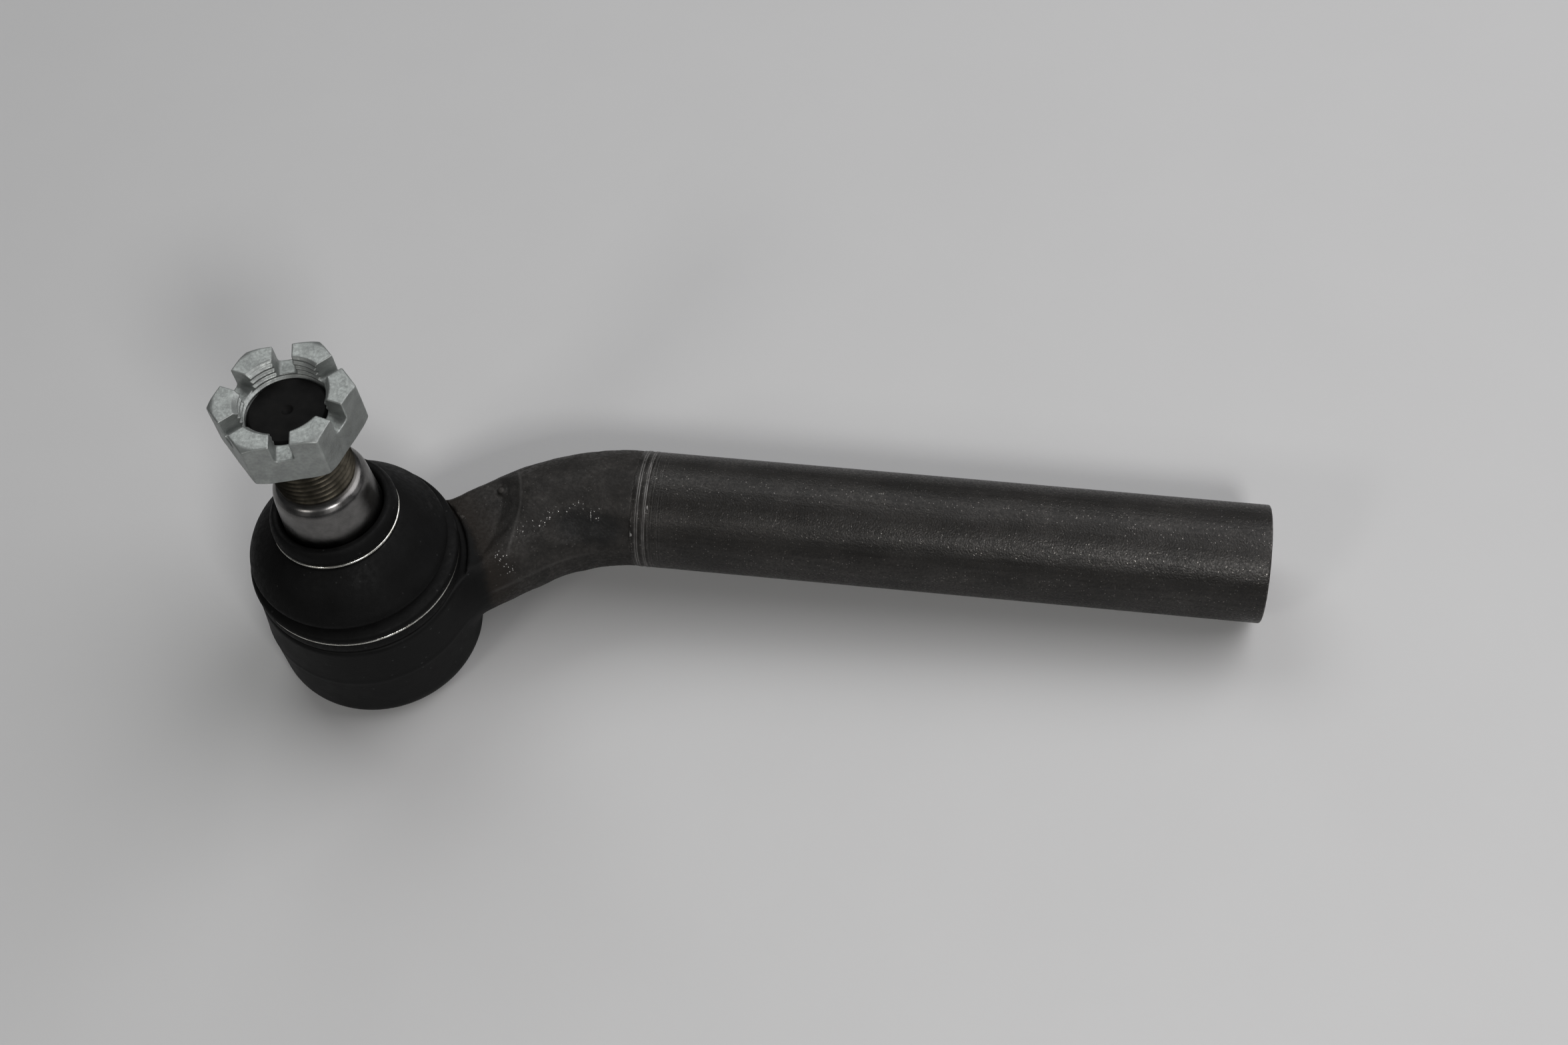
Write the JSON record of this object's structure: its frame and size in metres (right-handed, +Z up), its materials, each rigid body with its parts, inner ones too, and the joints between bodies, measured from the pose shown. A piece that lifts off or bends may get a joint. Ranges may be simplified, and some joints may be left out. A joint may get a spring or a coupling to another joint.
{
  "type": "tie rod end",
  "caption": "Cranked tie rod end: a tapered ball stud with castle nut and rubber dust boot in a closed socket, on a forged neck welded to a plain tubular shank.",
  "frame": {"origin": "centre of the cover's flat underside, on the socket's axis, 28 mm below the ball centre", "axes": "+Z up along the socket's axis towards the stud's thread, +X along the straight shank towards its open end, +Y to the side the crank steps to"},
  "size_m": [0.3035, 0.087, 0.1232],
  "materials": {
    "forged_steel": "as forged with a black coat on the socket",
    "tube_steel": "dark drawn tube, lightly oiled",
    "weld_metal": "turned",
    "stud_steel": "ground taper, black end",
    "zinc_plate": "bright zinc, satin",
    "spring_steel": "drawn wire",
    "boot_rubber": "moulded, matt",
    "seal_rubber": "smooth",
    "bearing_plastic": "moulded"
  },
  "bodies": {
    "socket": {"socket_forging": "forged_steel", "weld_band": "weld_metal", "shank_tube": "tube_steel", "end_cover": "forged_steel", "cover_seal": "seal_rubber", "preload_spring": "spring_steel", "spring_plate": "spring_steel", "lower_bearing_shell": "bearing_plastic", "upper_bearing_shell": "bearing_plastic"},
    "boot": {"dust_boot": "boot_rubber", "boot_lower_ring": "zinc_plate"},
    "collar": {"boot_upper_ring": "zinc_plate"},
    "stud": {"ball_stud": "stud_steel"},
    "nut": {"castle_nut": "zinc_plate"}
  },
  "joints": [
    {"name": "stud_heading", "type": "hinge", "parent": "socket", "child": "boot", "pos_m": [0, 0, 0.028], "axis": [0, 0, 1], "continuous": true},
    {"name": "stud_tilt", "type": "hinge", "parent": "boot", "child": "collar", "pos_m": [0, 0, 0.028], "axis": [-0.5934, -0.8049, 0], "range_deg": [-22, 13.9], "deforming": ["dust_boot"]},
    {"name": "stud_spin", "type": "hinge", "parent": "collar", "child": "stud", "pos_m": [0, 0, 0.028], "axis": [-0.0568, 0.0419, 0.9975], "continuous": true},
    {"name": "nut_turn", "type": "hinge", "parent": "stud", "child": "nut", "pos_m": [-0.00447, 0.0033, 0.1065], "axis": [-0.0568, 0.0419, 0.9975], "continuous": true}
  ]
}
